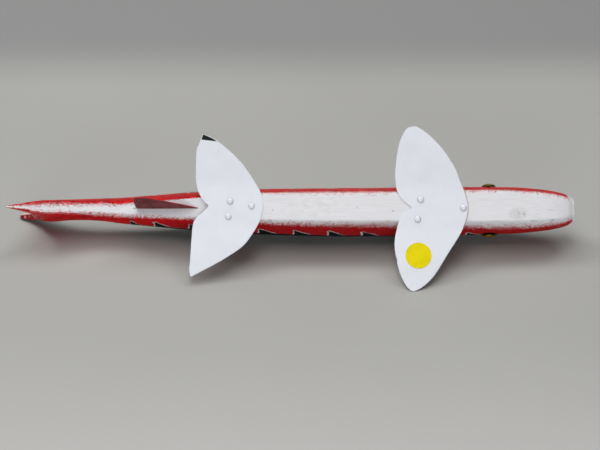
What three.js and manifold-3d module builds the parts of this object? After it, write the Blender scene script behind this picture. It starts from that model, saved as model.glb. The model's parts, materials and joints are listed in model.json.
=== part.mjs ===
// A hand-carved, painted wooden fish decoy with sheet metal fins, lying on a flat surface.
//
// Millimetres. Every piece is made in the fish's own frame: +X to the nose, +Y to the fish's
// left, +Z to its back, with the origin in the planed belly, about half way along. A group then
// lays the fish down on its left fin, its dorsal fin and its tail, with +Z up.
import * as THREE from 'three';
import { mergeVertices } from 'three/addons/utils/BufferGeometryUtils.js';
import Module from 'manifold-3d';

const wasm = await Module();
wasm.setup();

// Driving dimensions
const TAIL_END = -208;
const NOSE_END = 210.5;
const BACK = 46; // belly to the top of the back
const REACH = 58; // from the belly to the tips of the dorsal fin and the tail's upper lobe
const GAP = 0.3; // clearance between pieces that touch
const SHEET = 0.5; // thickness of the fins' sheet metal
const KERF = SHEET + 2 * GAP; // width of a saw cut that holds a fin
const KERF_DEPTH = 8;

// Body profiles: [x, value] points from the tail to the nose
const FLAT_FROM = -40; // the belly is planed flat between these
const FLAT_TO = 150;
const bellyHeight = profile([
  [TAIL_END, 0.5], [-194, 3.5], [-180, 8.5], [-160, 14.5], [-145, 16.5], [-128, 15.5],
  [-95, 10], [-66, 4], [FLAT_FROM, 0], [FLAT_TO, 0], [176, 1], [194, 3], [205, 6.5],
  [NOSE_END, 12],
]);
const backHeight = profile([
  [TAIL_END, REACH], [-195, 55], [-180, 48], [-165, 41], [-150, 38.5], [-135, 38.5],
  [-100, 41], [-60, 44], [0, 45.8], [40, BACK], [80, 45.6], [120, 43], [150, 39.5],
  [176, 35], [194, 31], [205, 27], [NOSE_END, 21],
]);
const halfWidth = profile([
  [TAIL_END, 1.1], [-204, 2.5], [-194, 4.2], [-179, 7], [-165, 7.5], [-154, 7.8], [-140, 8.5],
  [-128, 9.5], [-95, 12.3], [-69, 14.4], [-23, 16.8], [30, 17.9], [100, 18.1], [154, 17.5],
  [170, 17], [183, 15.9], [192, 14.8], [200, 13.2], [206, 11.2], [NOSE_END, 7.8],
]);
const flatHalfWidth = profile([
  [TAIL_END, 0.4], [-194, 2.9], [-179, 5], [-165, 4.8], [-154, 4.2], [-128, 4.6], [-66, 8], [0, 10],
  [60, 10.3], [150, 11.2], [181, 10], [197, 8.6], [NOSE_END, 4.5],
]);
const sideBend = profile([
  [TAIL_END, -0.4], [-180, -1.3], [-154, -2], [-140, -1.9], [-128, -1.2], [-75, -0.6], [30, 0.4],
  [150, -0.3], [NOSE_END, 0],
]);
const WIDEST_AT = 0.56; // the widest line's place between belly and back
const FLARE = 1.5; // how much the lower flank bulges: 1 is straight
const roundness = profile([
  [TAIL_END, 6], [-180, 5], [-165, 3.4], [-145, 2.5], [-60, 2.3], [NOSE_END, 2.3],
]); // exponent of the upper flank's superellipse: 2 is an ellipse, more is squarer

// Steps of the body's mesh
const STATIONS = 64;
const FLAT_STEPS = 2;
const FLANK_STEPS = 5;
const BACK_STEPS = 8;

// Fins nailed on the belly. Edges run from the left tip to the right tip as [x, span], x from
// the front point of the fin and span to the left; each wing is bent out beyond BEND_FROM.
const BEND_FROM = 13;
const BEND_LENGTH = 6;
const FRONT_FIN = {
  point: 131,
  bend: { left: 4, right: 6.5 },
  leading: [
    [-40.5, 62.4], [-34.6, 59.2], [-26.2, 51.2], [-15.2, 34], [-7, 20.9], [-2.6, 11.5], [-1, 6],
    [-0.5, 1], [-0.9, -4], [-2.6, -10.5], [-6.2, -19], [-10.7, -30.1], [-18, -41.2],
    [-28.2, -52.3], [-37.2, -58.4], [-39.5, -59.1],
  ],
  trailing: [
    [-42.6, 62.4], [-46.8, 57.9], [-51.7, 46.8], [-54.4, 32], [-54, 22], [-50.3, 7.6], [-46, 3],
    [-42, 0.8], [-46.2, -3], [-50.1, -6.9], [-53, -13.5], [-53.7, -25], [-52.6, -37.5],
    [-50.1, -48.6], [-45.6, -57], [-41.6, -58.9],
  ],
  nails: [[-35.2, -5.4], [-37.5, 9.1], [-4.1, 0.8]],
};
const REAR_FIN = {
  point: -19.5,
  bend: { left: 3, right: 6 },
  leading: [
    [-51.7, 51.4], [-36.7, 43.4], [-26.6, 37.6], [-14, 28.6], [-6.3, 18], [-2.4, 10.5],
    [0.1, 1.5], [-0.6, -7], [-4.8, -16.5], [-17, -33.8], [-33.7, -48.6], [-43.4, -53.4],
  ],
  trailing: [
    [-52.7, 51.1], [-53.6, 46.5], [-53, 39.9], [-51.9, 22], [-51.2, 13.6], [-48.6, 8.1],
    [-40.2, 0], [-44.3, -5.4], [-48.8, -16.5], [-48.9, -39.7], [-46.9, -46.2], [-44.4, -53.6],
  ],
  nails: [[-24.1, -4.2], [-25.3, 7.2], [-8.3, -0.6]],
};
const RIBS = 31;
const CHORD_STEPS = 5;
const NAIL = { head: 2.25, dome: 1, shank: 0.7, length: 12 };

// Fins set in saw cuts
const DORSAL = { rear: -35, front: 34, tip: 31, seat: BACK - KERF_DEPTH };
const ANAL = {
  rear: [-113, -0.95], // [x, y] of the two ends of its foot on the belly
  front: [-67, 0.2],
  lean: THREE.MathUtils.degToRad(14),
  overrun: 3, // how far the saw ran on behind the fin
};

// What the body carries
const POCKET = { from: -12, to: 49, halfWidth: 9, depth: 20, filler: 3.5, corner: 5 };
const EYE = { x: 148.5, z: 24, head: 5.15, dome: 2.3, shank: 0.8, length: 11 };
const LINE_TIE = { x: 62, ring: 3.4, wire: 0.9, depth: 13 };
const STICKER = { x: 93.7, span: 36.2, radius: 9.5, thickness: 0.15 };

const FIN_WHITE = [0xe4e6e8, 0.45, 0.1];
const MATERIALS = {
  paint: [0xb3161c, 0.55, 0],
  lead: [0x6d7074, 0.6, 0.8],
  filler: [0xe2dcda, 0.8, 0],
  fin: FIN_WHITE,
  nail: FIN_WHITE,
  redFin: [0x9c1a1e, 0.5, 0.1],
  brass: [0xb08d3a, 0.3, 1],
  steel: [0x9a9a98, 0.35, 1],
  paper: [0xe8d800, 0.8, 0],
};

// A smooth curve through [x, value] points that never overshoots and stays level where
// two neighbours are equal (piecewise cubic with monotone slopes).
function profile(points) {
  const steps = points.slice(1).map(([x], i) => x - points[i][0]);
  const slopes = points.slice(1).map(([, v], i) => (v - points[i][1]) / steps[i]);
  const tangents = points.map((_, i) => {
    if (i === 0) return slopes[0];
    if (i === slopes.length) return slopes[i - 1];
    if (slopes[i - 1] * slopes[i] <= 0) return 0;
    const before = 2 * steps[i] + steps[i - 1];
    const after = steps[i] + 2 * steps[i - 1];
    return (before + after) / (before / slopes[i - 1] + after / slopes[i]);
  });
  return (x) => {
    let i = 0;
    while (i < steps.length - 1 && x > points[i + 1][0]) i += 1;
    const t = (x - points[i][0]) / steps[i];
    const rise = (1 + 2 * t) * (1 - t) ** 2 * points[i][1] + t * t * (3 - 2 * t) * points[i + 1][1];
    const turn = t * (1 - t) ** 2 * tangents[i] - t * t * (1 - t) * tangents[i + 1];
    return rise + steps[i] * turn;
  };
}

// A closed geometry as a manifold solid, for cutting and joining.
function solid(geometry) {
  const bare = geometry.clone();
  bare.deleteAttribute('normal');
  bare.deleteAttribute('uv');
  const merged = mergeVertices(bare, 1e-4);
  return new wasm.Manifold(new wasm.Mesh({
    numProp: 3,
    vertProperties: new Float32Array(merged.attributes.position.array),
    triVerts: new Uint32Array(merged.index.array),
  }));
}

function geometryOf(manifold) {
  const mesh = manifold.getMesh();
  const geometry = new THREE.BufferGeometry();
  geometry.setAttribute('position', new THREE.BufferAttribute(mesh.vertProperties, 3));
  geometry.setIndex(new THREE.BufferAttribute(mesh.triVerts, 1));
  return geometry;
}

function cut(geometry, tools) {
  return geometryOf(tools.reduce((left, tool) => left.subtract(solid(tool)), solid(geometry)));
}

// A closed skin over rings of equal length: quads between rings and a fan over each end.
function loft(rings) {
  const count = rings[0].length;
  const positions = rings.flat(2);
  const index = [];
  for (let r = 0; r < rings.length - 1; r += 1) {
    for (let i = 0; i < count; i += 1) {
      const a = r * count + i;
      const b = r * count + ((i + 1) % count);
      index.push(a, b, b + count, a, b + count, a + count);
    }
  }
  const last = (rings.length - 1) * count;
  for (let i = 1; i < count - 1; i += 1) {
    index.push(0, i + 1, i);
    index.push(last, last + i, last + i + 1);
  }
  const geometry = new THREE.BufferGeometry();
  geometry.setAttribute('position', new THREE.Float32BufferAttribute(positions, 3));
  geometry.setIndex(index);
  return geometry;
}

// The body's outline across the fish at x: flat belly, flared flank, rounded back.
function section(x) {
  const [low, top, wide, flat] = [bellyHeight, backHeight, halfWidth, flatHalfWidth].map((f) => f(x));
  const middle = low + WIDEST_AT * (top - low);
  const power = 2 / roundness(x);
  const side = [];
  for (let i = 0; i <= FLAT_STEPS; i += 1) side.push([(flat * i) / FLAT_STEPS, low]);
  for (let i = 1; i <= FLANK_STEPS; i += 1) {
    const t = i / FLANK_STEPS;
    side.push([flat + (wide - flat) * (1 - (1 - t) ** FLARE), low + (middle - low) * t]);
  }
  for (let i = 1; i <= BACK_STEPS; i += 1) {
    const angle = ((i / BACK_STEPS) * Math.PI) / 2;
    const out = i < BACK_STEPS ? Math.cos(angle) ** power : 0;
    side.push([wide * out, middle + (top - middle) * Math.sin(angle) ** power]);
  }
  const other = side.slice(1, -1).reverse().map(([y, z]) => [-y, z]);
  return [...side, ...other].map(([y, z]) => [x, y + sideBend(x), z]);
}

// Stations close together at both ends, where the outline turns fastest.
function stations() {
  const middle = (NOSE_END + TAIL_END) / 2;
  const reach = (NOSE_END - TAIL_END) / 2;
  return Array.from({ length: STATIONS }, (_, i) => {
    const t = (i / (STATIONS - 1)) * 2 - 1;
    return middle + reach * (0.55 * t + 0.45 * Math.sin((t * Math.PI) / 2));
  });
}

// A flat outline in the fish's X-Z plane, given thickness across the fish.
function upright(shape, thickness) {
  const geometry = new THREE.ExtrudeGeometry(shape, { depth: thickness, bevelEnabled: false });
  return geometry.translate(0, 0, -thickness / 2).rotateX(Math.PI / 2);
}

function forkCut() {
  const shape = new THREE.Shape();
  const beyond = TAIL_END - 5;
  shape.moveTo(beyond, 0.5);
  shape.lineTo(TAIL_END + 0.2, 2.4);
  shape.quadraticCurveTo(-190, 9, -184, 29);
  shape.quadraticCurveTo(-190, 47, TAIL_END + 1.5, REACH - 2);
  shape.lineTo(TAIL_END, REACH + 5);
  shape.lineTo(beyond, REACH + 5);
  return upright(shape, 30);
}

// A round piece turned about X = Y = 0, its outline given as [radius, z].
function turned(outline, segments) {
  const points = outline.map(([r, z]) => new THREE.Vector2(r, z));
  return new THREE.LatheGeometry(points, segments).rotateX(Math.PI / 2);
}

// A domed head over z = 0 and a pointed shank under it.
function tack({ head, dome, shank, length }, segments) {
  const outline = [[0, -length], [shank, 2 * shank - length], [shank, 0], [head, 0]];
  const steps = 5;
  for (let i = 1; i < steps; i += 1) {
    const angle = ((i / steps) * Math.PI) / 2;
    outline.push([head * Math.cos(angle), dome * Math.sin(angle)]);
  }
  outline.push([0, dome]);
  return turned(outline, segments);
}

function drill(radius, depth) {
  return new THREE.CylinderGeometry(radius, radius, 2 * depth, 10).rotateX(Math.PI / 2);
}

// Where a point of a nailed fin lies across the fish: flat on the belly, then bent away from
// it beyond BEND_FROM. lift is the height over the belly side of the sheet.
function wingPoint(fin, span, lift) {
  const bend = THREE.MathUtils.degToRad(span > 0 ? fin.bend.left : fin.bend.right);
  const along = Math.min(Math.max(Math.abs(span) - BEND_FROM, 0), BEND_LENGTH);
  const angle = (bend * along) / BEND_LENGTH;
  const radius = BEND_LENGTH / bend;
  const straight = Math.max(Math.abs(span) - BEND_FROM - BEND_LENGTH, 0);
  const out = Math.min(Math.abs(span), BEND_FROM) + radius * Math.sin(angle) + straight * Math.cos(angle);
  const down = radius * (1 - Math.cos(angle)) + straight * Math.sin(angle);
  const side = Math.sign(span);
  return [side * (out - lift * Math.sin(angle)), -down - lift * Math.cos(angle)];
}

function nailedFin(fin) {
  const edge = (points) => new THREE.SplineCurve(points.map(([x, y]) => new THREE.Vector2(x, y)));
  const [leading, trailing] = [edge(fin.leading), edge(fin.trailing)];
  const rings = [];
  for (let rib = 0; rib < RIBS; rib += 1) {
    const front = leading.getPoint(rib / (RIBS - 1));
    const rear = trailing.getPoint(rib / (RIBS - 1));
    const face = (lift) => Array.from({ length: CHORD_STEPS + 1 }, (_, i) => {
      const at = front.clone().lerp(rear, i / CHORD_STEPS);
      return [fin.point + at.x, ...wingPoint(fin, at.y, lift)];
    });
    rings.push([...face(GAP), ...face(GAP + SHEET).reverse()]);
  }
  const holes = fin.nails.map(([x, y]) => drill(NAIL.shank + GAP, 5).translate(fin.point + x, y, 0));
  return cut(loft(rings), holes);
}

function finNail() {
  return tack(NAIL, 14).rotateX(Math.PI).translate(0, 0, -2 * GAP - SHEET);
}

function dorsalFin() {
  const shape = new THREE.Shape();
  shape.moveTo(DORSAL.rear + GAP, DORSAL.seat + GAP);
  shape.lineTo(DORSAL.front - GAP, DORSAL.seat + GAP);
  shape.lineTo(DORSAL.front - GAP, BACK + 1);
  shape.quadraticCurveTo(DORSAL.front, REACH - 3, DORSAL.tip, REACH);
  shape.quadraticCurveTo(-5, REACH - 3.5, DORSAL.rear - 4, BACK + 5);
  shape.quadraticCurveTo(DORSAL.rear - 2, BACK + 2, DORSAL.rear + GAP, BACK);
  return upright(shape, SHEET);
}

function dorsalKerf() {
  const length = DORSAL.front - DORSAL.rear;
  const middle = (DORSAL.front + DORSAL.rear) / 2;
  return new THREE.BoxGeometry(length, KERF, 2 * KERF_DEPTH).translate(middle, 0, BACK);
}

// How long the anal fin's foot is, and the turn that seats a piece on it: one drawn with X
// along the foot from its rear end and -Z out of the belly, which then leans to the right.
function analSeat() {
  const [rear, front] = [ANAL.rear, ANAL.front].map(
    ([x, y]) => new THREE.Vector3(x, y, bellyHeight(x)),
  );
  const along = front.clone().sub(rear);
  const length = along.length();
  along.normalize();
  const inward = new THREE.Vector3(0, Math.sin(ANAL.lean), Math.cos(ANAL.lean));
  const across = inward.clone().cross(along).normalize();
  const seat = new THREE.Matrix4().makeBasis(along, across, along.clone().cross(across));
  return { length, seat: seat.setPosition(rear) };
}

function analFin() {
  const { length, seat } = analSeat();
  const shape = new THREE.Shape();
  shape.moveTo(2, KERF_DEPTH - 2);
  shape.lineTo(GAP, 0);
  shape.lineTo(-0.8, -2);
  shape.lineTo(2.1, -16.2);
  shape.quadraticCurveTo(3, -20.3, 7.5, -20);
  shape.quadraticCurveTo(11, -19.8, 14.6, -18.6);
  shape.quadraticCurveTo(31.4, -10.5, length - GAP, 0);
  shape.lineTo(length - 2, KERF_DEPTH - 2);
  return upright(shape, SHEET).applyMatrix4(seat);
}

function analKerf() {
  const { length, seat } = analSeat();
  const shape = new THREE.Shape();
  shape.moveTo(-ANAL.overrun, -20);
  shape.lineTo(length, -20);
  shape.lineTo(length, KERF_DEPTH);
  shape.lineTo(0, KERF_DEPTH);
  shape.lineTo(-ANAL.overrun, 1);
  return upright(shape, KERF).applyMatrix4(seat);
}

// A block with rounded corners in plan, from the bottom to the top height given.
function pocketBlock(margin, bottom, top) {
  const { from, to, halfWidth: half, corner } = POCKET;
  const [x0, x1, y1, r] = [from + margin, to - margin, half - margin, corner - margin];
  const shape = new THREE.Shape();
  shape.absarc(x1 - r, y1 - r, r, 0, Math.PI / 2);
  shape.absarc(x0 + r, y1 - r, r, Math.PI / 2, Math.PI);
  shape.absarc(x0 + r, r - y1, r, Math.PI, 1.5 * Math.PI);
  shape.absarc(x1 - r, r - y1, r, 1.5 * Math.PI, 2 * Math.PI);
  const options = { depth: top - bottom, bevelEnabled: false, curveSegments: 4 };
  return new THREE.ExtrudeGeometry(shape, options).translate(0, 0, bottom);
}

// Turns a tack to point into the flank on one side, its head just clear of the wood.
function seatEye(geometry, side) {
  const y = sideBend(EYE.x) + side * (halfWidth(EYE.x) + GAP);
  return geometry.rotateX((-side * Math.PI) / 2).translate(EYE.x, y, EYE.z);
}

function lineTie() {
  const { x, ring, wire, depth } = LINE_TIE;
  const foot = backHeight(x) + 0.5;
  const loop = new THREE.TorusGeometry(ring, wire, 8, 18).rotateX(Math.PI / 2);
  loop.translate(x, 0, foot + ring + wire);
  const shank = turned([[0, -depth], [wire, 2 * wire - depth], [wire, wire], [0, wire]], 10);
  shank.translate(x, 0, foot);
  return geometryOf(solid(loop).add(solid(shank)));
}

function body() {
  const nailHoles = [FRONT_FIN, REAR_FIN].flatMap((fin) => fin.nails.map(
    ([x, y]) => drill(NAIL.shank + GAP, NAIL.length).translate(fin.point + x, y, 0),
  ));
  const eyeHoles = [1, -1].map((side) => seatEye(drill(EYE.shank + GAP, EYE.length + 1), side));
  const tieHole = drill(LINE_TIE.wire + GAP, LINE_TIE.depth).translate(LINE_TIE.x, 0, BACK);
  const pocket = pocketBlock(0, -5, POCKET.depth);
  const tools = [forkCut(), dorsalKerf(), analKerf(), pocket, ...nailHoles, ...eyeHoles, tieHole];
  return cut(loft(stations().map(section)), tools);
}

function sticker() {
  const { x, span, radius, thickness } = STICKER;
  const lift = GAP + SHEET + GAP + thickness / 2;
  const [y, z] = wingPoint(FRONT_FIN, span, lift);
  const tilt = THREE.MathUtils.degToRad(FRONT_FIN.bend.left);
  const disc = new THREE.CylinderGeometry(radius, radius, thickness, 32).rotateX(Math.PI / 2);
  return disc.rotateX(-tilt).translate(x, y, z);
}

const fish = new THREE.Group();

function addPiece(name, geometry, finish) {
  const [color, roughness, metalness] = MATERIALS[finish];
  const material = new THREE.MeshStandardMaterial({ color, roughness, metalness });
  const mesh = new THREE.Mesh(geometry, material);
  mesh.name = name;
  fish.add(mesh);
  return mesh;
}

addPiece('body', body(), 'paint');
addPiece('ballast', pocketBlock(GAP, POCKET.filler + GAP, POCKET.depth - GAP), 'lead');
addPiece('ballast_filler', pocketBlock(GAP, 0, POCKET.filler), 'filler');
for (const [name, fin] of [['front_fin', FRONT_FIN], ['rear_fin', REAR_FIN]]) {
  addPiece(name, nailedFin(fin), 'fin');
  fin.nails.forEach(([x, y], i) => {
    addPiece(`${name}_nail_${i + 1}`, finNail(), 'nail').position.set(fin.point + x, y, 0);
  });
}
addPiece('dorsal_fin', dorsalFin(), 'redFin');
addPiece('anal_fin', analFin(), 'redFin');
addPiece('left_eye', seatEye(tack(EYE, 20), 1), 'brass');
addPiece('right_eye', seatEye(tack(EYE, 20), -1), 'brass');
addPiece('line_tie', lineTie(), 'steel');
addPiece('sticker', sticker(), 'paper');

// Lay the fish down: the left tip of the front fin, the dorsal fin and the tail's upper lobe
// touch the surface, and the belly looks up and forward. Then stand the box that holds it
// all with the middle of its base on the origin.
const [tipSpan, tipHeight] = wingPoint(FRONT_FIN, FRONT_FIN.leading[0][1], GAP + SHEET);
const lean = Math.atan2(tipSpan, REACH - tipHeight);
fish.rotation.x = -(Math.PI / 2 + lean);
const box = new THREE.Box3().setFromObject(fish, true);
const middle = box.getCenter(new THREE.Vector3());
fish.position.set(-middle.x, -middle.y, -box.min.z);

const decoy = new THREE.Group();
decoy.add(fish);

export default decoy;
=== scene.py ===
"""The looks of a hand-carved, painted wooden fish decoy with sheet metal fins.

Every piece is drawn in the fish's own frame, in millimetres: X to the nose, Y to the fish's
left, Z to its back, with the origin in the planed belly. place() then lays it down where the
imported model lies, in metres, and keeps the drawn position as the mesh attribute "fish". The
pieces' materials are drawn from that attribute. Only the lead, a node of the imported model, and
the floor take theirs from the place in space.
"""
import json
import math

import bmesh
import bpy
import numpy as np
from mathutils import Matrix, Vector, noise


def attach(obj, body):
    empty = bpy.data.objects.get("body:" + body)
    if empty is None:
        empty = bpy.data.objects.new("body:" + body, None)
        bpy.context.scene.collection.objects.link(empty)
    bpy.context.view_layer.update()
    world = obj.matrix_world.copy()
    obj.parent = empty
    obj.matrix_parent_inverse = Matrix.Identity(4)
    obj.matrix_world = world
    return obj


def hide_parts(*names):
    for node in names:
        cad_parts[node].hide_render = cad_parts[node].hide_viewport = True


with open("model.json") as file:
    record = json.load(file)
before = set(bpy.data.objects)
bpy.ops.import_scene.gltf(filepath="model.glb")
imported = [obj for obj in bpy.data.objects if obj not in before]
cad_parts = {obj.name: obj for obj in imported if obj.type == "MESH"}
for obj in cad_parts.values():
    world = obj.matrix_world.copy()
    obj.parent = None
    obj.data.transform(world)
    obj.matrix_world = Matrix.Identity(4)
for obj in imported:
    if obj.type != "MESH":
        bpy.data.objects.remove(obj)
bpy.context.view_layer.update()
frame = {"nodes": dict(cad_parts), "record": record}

# ---- the fish's frame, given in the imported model's ----

MM = 0.001
BODY = "root"
BELLY_MOUNT_X = 66  # where the belly_flat mount's point is along the fish

belly_mount = next(m for m in frame["record"]["mounts"] if m["name"] == "belly_flat")
NOSEWARD = Vector((1, 0, 0))
BACKWARD = -Vector(belly_mount["axis"]).normalized()
LEFTWARD = BACKWARD.cross(NOSEWARD)
AXES = np.array([NOSEWARD, LEFTWARD, BACKWARD])
ORIGIN = np.array(belly_mount["pos_m"]) - BELLY_MOUNT_X * MM * AXES[0]

# ---- camera and picture ----

CAMERA_ELEVATION = math.radians(37.8)
CAMERA_DISTANCE = 1.2
CAMERA_TARGET = Vector((0.0063, 0, 0.0267))
CAMERA_LENS = 97.9


def link(item):
    """Puts an object in the scene."""
    bpy.context.scene.collection.objects.link(item)


def add_camera():
    data = bpy.data.cameras.new("camera")
    data.lens = CAMERA_LENS
    camera = bpy.data.objects.new("camera", data)
    back = Vector((0, -math.cos(CAMERA_ELEVATION), math.sin(CAMERA_ELEVATION)))
    camera.location = CAMERA_TARGET + CAMERA_DISTANCE * back
    camera.rotation_euler = (math.pi / 2 - CAMERA_ELEVATION, 0, 0)
    link(camera)
    bpy.context.scene.camera = camera
    bpy.context.scene.view_settings.view_transform = "Standard"


# ---- the wooden body ----


def profile(points):
    """A smooth curve through (x, value) points that never overshoots them."""
    xs, values = np.array(points, float).T
    steps = np.diff(xs)
    slopes = np.diff(values) / steps
    tangents = np.concatenate([slopes[:1], np.zeros(len(slopes) - 1), slopes[-1:]])
    for i in range(1, len(slopes)):
        if slopes[i - 1] * slopes[i] > 0:
            before = 2 * steps[i] + steps[i - 1]
            after = steps[i] + 2 * steps[i - 1]
            tangents[i] = (before + after) / (before / slopes[i - 1] + after / slopes[i])

    def value(x):
        i = np.clip(np.searchsorted(xs, x, side="right") - 1, 0, len(steps) - 1)
        t = (x - xs[i]) / steps[i]
        rise = (1 + 2 * t) * (1 - t) ** 2 * values[i] + t * t * (3 - 2 * t) * values[i + 1]
        turn = t * (1 - t) ** 2 * tangents[i] - t * t * (1 - t) * tangents[i + 1]
        return rise + steps[i] * turn

    return value


TAIL_END = -208
NOSE_END = 210.5
BACK = 46  # from the belly's plane to the back
REACH = 58  # to the tips of the tail and the dorsal fin
FLAT_FROM, FLAT_TO = -40, 150  # where the belly is in its plane

belly_height = profile([
    (TAIL_END, 0.5), (-194, 3.5), (-180, 8.5), (-160, 14.5), (-145, 16.5), (-128, 15.5),
    (-95, 10), (-66, 4), (FLAT_FROM, 0), (FLAT_TO, 0), (176, 1), (194, 3), (205, 6.5),
    (NOSE_END, 12),
])
back_height = profile([
    (TAIL_END, REACH), (-195, 55), (-180, 48), (-165, 41), (-150, 38.5), (-135, 38.5),
    (-100, 41), (-60, 44), (0, 45.8), (40, BACK), (80, 45.6), (120, 43), (150, 39.5),
    (176, 35), (194, 31), (205, 27), (NOSE_END, 21),
])
half_width = profile([
    (TAIL_END, 1.1), (-204, 2.5), (-194, 4.2), (-179, 7), (-165, 7.5), (-154, 7.8),
    (-140, 8.5), (-128, 9.5), (-95, 12.3), (-69, 14.4), (-23, 16.8), (30, 17.9), (100, 18.1),
    (154, 17.5), (170, 17), (183, 15.9), (192, 14.8), (200, 13.2), (206, 11.2),
    (NOSE_END, 7.8),
])
flat_half_width = profile([
    (TAIL_END, 0.4), (-194, 2.9), (-179, 5), (-165, 4.8), (-154, 4.2), (-128, 4.6), (-66, 8),
    (0, 10), (60, 10.3), (150, 11.2), (181, 10), (197, 8.6), (NOSE_END, 4.5),
])
side_bend = profile([
    (TAIL_END, -0.4), (-180, -1.3), (-154, -2), (-140, -1.9), (-128, -1.2), (-75, -0.6),
    (30, 0.4), (150, -0.3), (NOSE_END, 0),
])
roundness = profile([
    (TAIL_END, 6), (-180, 5), (-165, 3.4), (-145, 2.5), (-60, 2.3), (NOSE_END, 2.3),
])
WIDEST_AT = 0.56  # the widest line's place between belly and back
FLARE = 1.5  # how much the lower flank bulges: 1 is straight
WAIST = 0.507  # where the fork divides a section, between belly and back
EDGE_ROUND = 1.1  # the planed belly's edges, worn round

NOTCH = -184  # the bottom of the tail's fork
FORK_LOWER = [(NOTCH, 29), (-190, 9), (-207.8, 2.4)]
FORK_UPPER = [(NOTCH, 29), (-190, 47), (-206.5, 56)]
FORK_EDGE = 0.9  # how far the fork's edges are rounded

NOSE_ROUND = 1.6  # the radius of the blunt nose's rim
NOSE_CROWN = 0.35  # how far its face stands out in the middle
NOSE_RIM_ANGLES = (15, 30, 45, 60, 75, 90)
NOSE_FACE_STEPS = 7

BODY_STEP = 1.2  # between the rings of vertices along the body
FLAT_STEPS, CORNER_STEPS, FLANK_STEPS, BACK_STEPS = 8, 4, 16, 24
CHAIN_STEPS = 8
LOBE_STEPS = 44


def breadth(x, z):
    """Half the body's width at a height."""
    low, top = belly_height(x), back_height(x)
    wide, flat, power = half_width(x), flat_half_width(x), roundness(x)
    middle = low + WIDEST_AT * (top - low)
    down = np.clip((z - low) / (middle - low), 0, 1)
    up = np.clip((z - middle) / (top - middle), 0, 1)
    flank = flat + (wide - flat) * (1 - (1 - down) ** FLARE)
    return np.where(z < middle, flank, wide * (1 - up**power) ** (1 / power))


def bezier(points, t):
    """A point on the quadratic curve with these three control points."""
    a, b, c = (np.array(p, float) for p in points)
    return (1 - t) ** 2 * a + 2 * t * (1 - t) * b + t * t * c


def lower_side(x, waist):
    """(y, z) points of one side, from the middle of the belly up to the waist."""
    low, flat = belly_height(x), flat_half_width(x)
    r = min(EDGE_ROUND, 0.4 * flat, 0.4 * (waist - low))
    above = (float(breadth(x, low + r)), low + r)
    side = [(y, low) for y in np.linspace(0, flat - r, FLAT_STEPS + 1)]
    corner = [(flat - r, low), (flat, low), above]
    side += [tuple(bezier(corner, k / CORNER_STEPS)) for k in range(1, CORNER_STEPS)]
    side += [(float(breadth(x, z)), z) for z in np.linspace(low + r, waist, FLANK_STEPS)]
    return side


def upper_side(x, waist):
    """(y, z) points of one side, from the waist to the middle of the back."""
    top = back_height(x)
    heights = waist + (top - waist) * np.sin(np.linspace(0, math.pi / 2, BACK_STEPS + 1))
    side = [(float(breadth(x, z)), z) for z in heights]
    side[-1] = (0.0, top)
    return side


def chain(x, width, height, bulge):
    """Points across the tail's thickness on the fork's edge, rounded by the bulge."""
    across = [math.cos(math.pi * k / CHAIN_STEPS) for k in range(1, CHAIN_STEPS)]
    return [(x, width * c, height + bulge * (1 - c * c) ** 0.5) for c in across]


class Skin:
    """Vertices and faces of one closed mesh, put together from rings of vertex numbers."""

    def __init__(self):
        self.points = []
        self.faces = []

    def add(self, points):
        start = len(self.points)
        self.points += [tuple(float(c) for c in p) for p in points]
        return list(range(start, len(self.points)))

    def bridge(self, a, b):
        for i in range(len(a)):
            j = (i + 1) % len(a)
            self.faces.append((a[i], a[j], b[j], b[i]))

    def cap(self, ring):
        middle = np.mean([self.points[i] for i in ring], axis=0)
        (centre,) = self.add([middle])
        for i in range(len(ring)):
            self.faces.append((ring[i], ring[(i + 1) % len(ring)], centre))

    def stack(self, rings):
        """Faces from each ring to the next."""
        for a, b in zip(rings, rings[1:]):
            self.bridge(a, b)

    def tube(self, rings):
        """The same, with both ends closed."""
        self.stack(rings)
        self.cap(rings[0])
        self.cap(rings[-1])

    def mesh(self, name):
        data = bpy.data.meshes.new(name)
        data.from_pydata(self.points, [], self.faces)
        data.update()
        face_outward(data)
        return data


def full_ring(x):
    low, top = belly_height(x), back_height(x)
    waist = low + WAIST * (top - low)
    side = lower_side(x, waist) + upper_side(x, waist)[1:]
    left = [(x, y + side_bend(x), z) for y, z in side]
    right = [(x, side_bend(x) - y, z) for y, z in side[-2:0:-1]]
    return left + right


def lobe_ring(x, fork_z, upper, bulge):
    """One ring of a tail lobe: its sides, and the rounded edge that faces the fork."""
    bend = side_bend(x)
    side = upper_side(x, fork_z) if upper else lower_side(x, fork_z)[::-1]
    left = [(x, y + bend, z) for y, z in side]
    right = [(x, bend - y, z) for y, z in side[-2::-1]]
    width = side[0][0]
    edge = [(x, bend - y, z) for _, y, z in chain(x, width, fork_z, -bulge if upper else bulge)]
    return left + right + edge


def shared_ring(notch_ring, chain_ids, upper):
    """The notch's own vertices, in the order that lobe_ring gives its points."""
    waist = FLAT_STEPS + CORNER_STEPS + FLANK_STEPS - 1
    top = waist + BACK_STEPS
    count = len(notch_ring)
    left = list(range(waist, top + 1)) if upper else list(range(waist, -1, -1))
    right = [(count - i) % count for i in left[-2::-1]]
    return [notch_ring[i] for i in left + right] + chain_ids


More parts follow.
